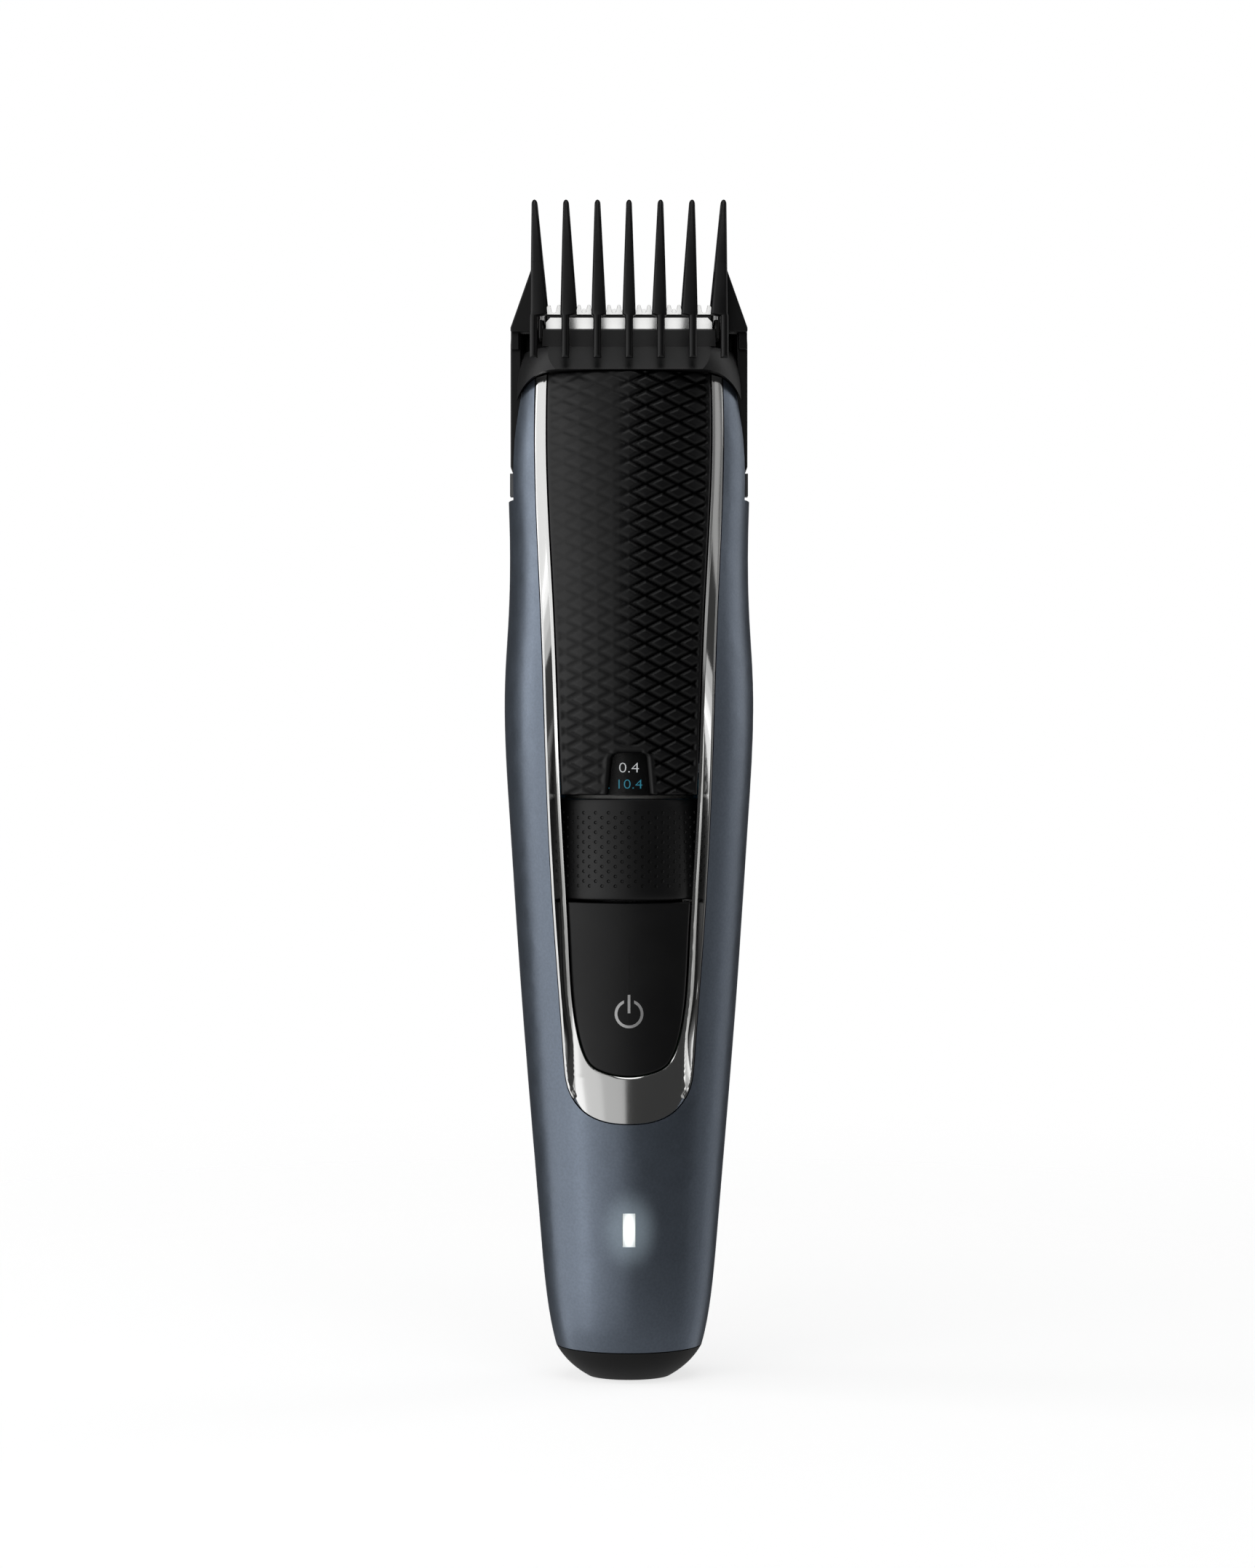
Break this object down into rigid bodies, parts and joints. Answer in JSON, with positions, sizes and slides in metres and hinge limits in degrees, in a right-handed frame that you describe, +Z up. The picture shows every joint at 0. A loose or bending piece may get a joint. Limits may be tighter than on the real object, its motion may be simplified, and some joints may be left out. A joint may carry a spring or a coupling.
{
  "type": "beard trimmer",
  "caption": "Cordless beard trimmer with a finned length comb, a zoom wheel that raises it, a push button, and a toothed cutting unit.",
  "frame": {"origin": "centre of the flat foot under the end cap, in the mouth of the charging socket", "axes": "+Z up the handle to the comb's tips, -Y is the front with the wheel and button, +X to the right seen from the front"},
  "size_m": [0.0402, 0.0333, 0.1882],
  "materials": {
    "blue_shell": "satin metallic blue-grey lacquer on plastic",
    "soft_grip": "matt textured rubber",
    "black_plastic": "fine matt moulding",
    "seal_rubber": "smooth",
    "contact_metal": "plated",
    "trim_steel": "satin chrome",
    "panel_black": "satin black with raised diamonds",
    "window_smoke": "smoked clear plastic",
    "symbol_grey": "silver print",
    "light_lens": "frosted white",
    "board_green": "solder mask",
    "screw_steel": "zinc plated",
    "frame_plastic": "natural grey moulding",
    "battery_wrap": "shrink sleeve",
    "wire_cover": "PVC insulation",
    "wheel_black": "dimpled satin black",
    "drum_plastic": "acetal",
    "motor_steel": "drawn can",
    "magnet_grey": "sintered",
    "rotor_copper": "enamelled copper windings",
    "blade_steel": "ground stainless steel",
    "comb_black": "satin black"
  },
  "bodies": {
    "handle": {"front_housing": "blue_shell", "rear_housing": "blue_shell", "rear_grip": "soft_grip", "end_cap": "black_plastic", "cap_seal": "seal_rubber", "charging_socket": "black_plastic", "socket_pins": "contact_metal", "trim_frame": "trim_steel", "front_panel": "panel_black", "window_lens": "window_smoke", "led_lens": "light_lens", "status_led": "light_lens", "circuit_board": "board_green", "board_screws": "screw_steel", "switch_base": "black_plastic", "battery_cell": "battery_wrap", "battery_contacts": "contact_metal", "motor_leads": "wire_cover", "charging_leads": "wire_cover", "inner_frame": "frame_plastic", "detent_spring": "blade_steel", "motor_can": "motor_steel", "motor_end_bell": "frame_plastic", "motor_magnets": "magnet_grey", "motor_terminals": "contact_metal", "motor_screws": "screw_steel", "head_collar": "black_plastic", "cutting_unit_frame": "black_plastic", "guard_blade": "blade_steel", "blade_spring": "blade_steel"},
    "zoom_wheel": {"zoom_wheel": "wheel_black", "lead_drum": "drum_plastic", "number_band": "panel_black"},
    "slider": {"slider_yoke": "frame_plastic", "follower_pin": "screw_steel"},
    "comb": {"comb": "comb_black"},
    "power_button": {"power_button": "panel_black", "power_symbol": "symbol_grey"},
    "switch_plunger": {"switch_plunger": "frame_plastic"},
    "rotor": {"motor_rotor": "rotor_copper", "motor_shaft": "screw_steel", "eccentric_cam": "frame_plastic"},
    "cutter": {"cutter_blade": "blade_steel", "cutter_carrier": "frame_plastic"}
  },
  "joints": [
    {"name": "wheel_turn", "type": "hinge", "parent": "handle", "child": "zoom_wheel", "pos_m": [0, -0.0012, 0.085], "axis": [0, 0, 1], "range_deg": [0, 330]},
    {"name": "comb_height", "type": "slide", "parent": "handle", "child": "slider", "axis": [0, 0, 1], "range_m": [0, 0.0096]},
    {"name": "comb_pull_off", "type": "slide", "parent": "slider", "child": "comb", "axis": [0, 0, 1], "range_m": [0, 0.035]},
    {"name": "power_press", "type": "slide", "parent": "handle", "child": "power_button", "axis": [0, 1, 0], "range_m": [0, 0.0005], "stiffness_N_per_m": 2000},
    {"name": "plunger_press", "type": "slide", "parent": "handle", "child": "switch_plunger", "axis": [0, 1, 0], "range_m": [0, 0.0005]},
    {"name": "motor_spin", "type": "hinge", "parent": "handle", "child": "rotor", "pos_m": [0, -0.003, 0.135], "axis": [0, 0, 1], "continuous": true},
    {"name": "cutter_slide", "type": "slide", "parent": "handle", "child": "cutter", "axis": [1, 0, 0], "range_m": [-0.0008, 0.0008]}
  ],
  "couplings": [
    {"joint": "comb_height", "follows": "wheel_turn", "m_per_rad": 0.0016668},
    {"joint": "plunger_press", "follows": "power_press", "ratio": 1}
  ]
}
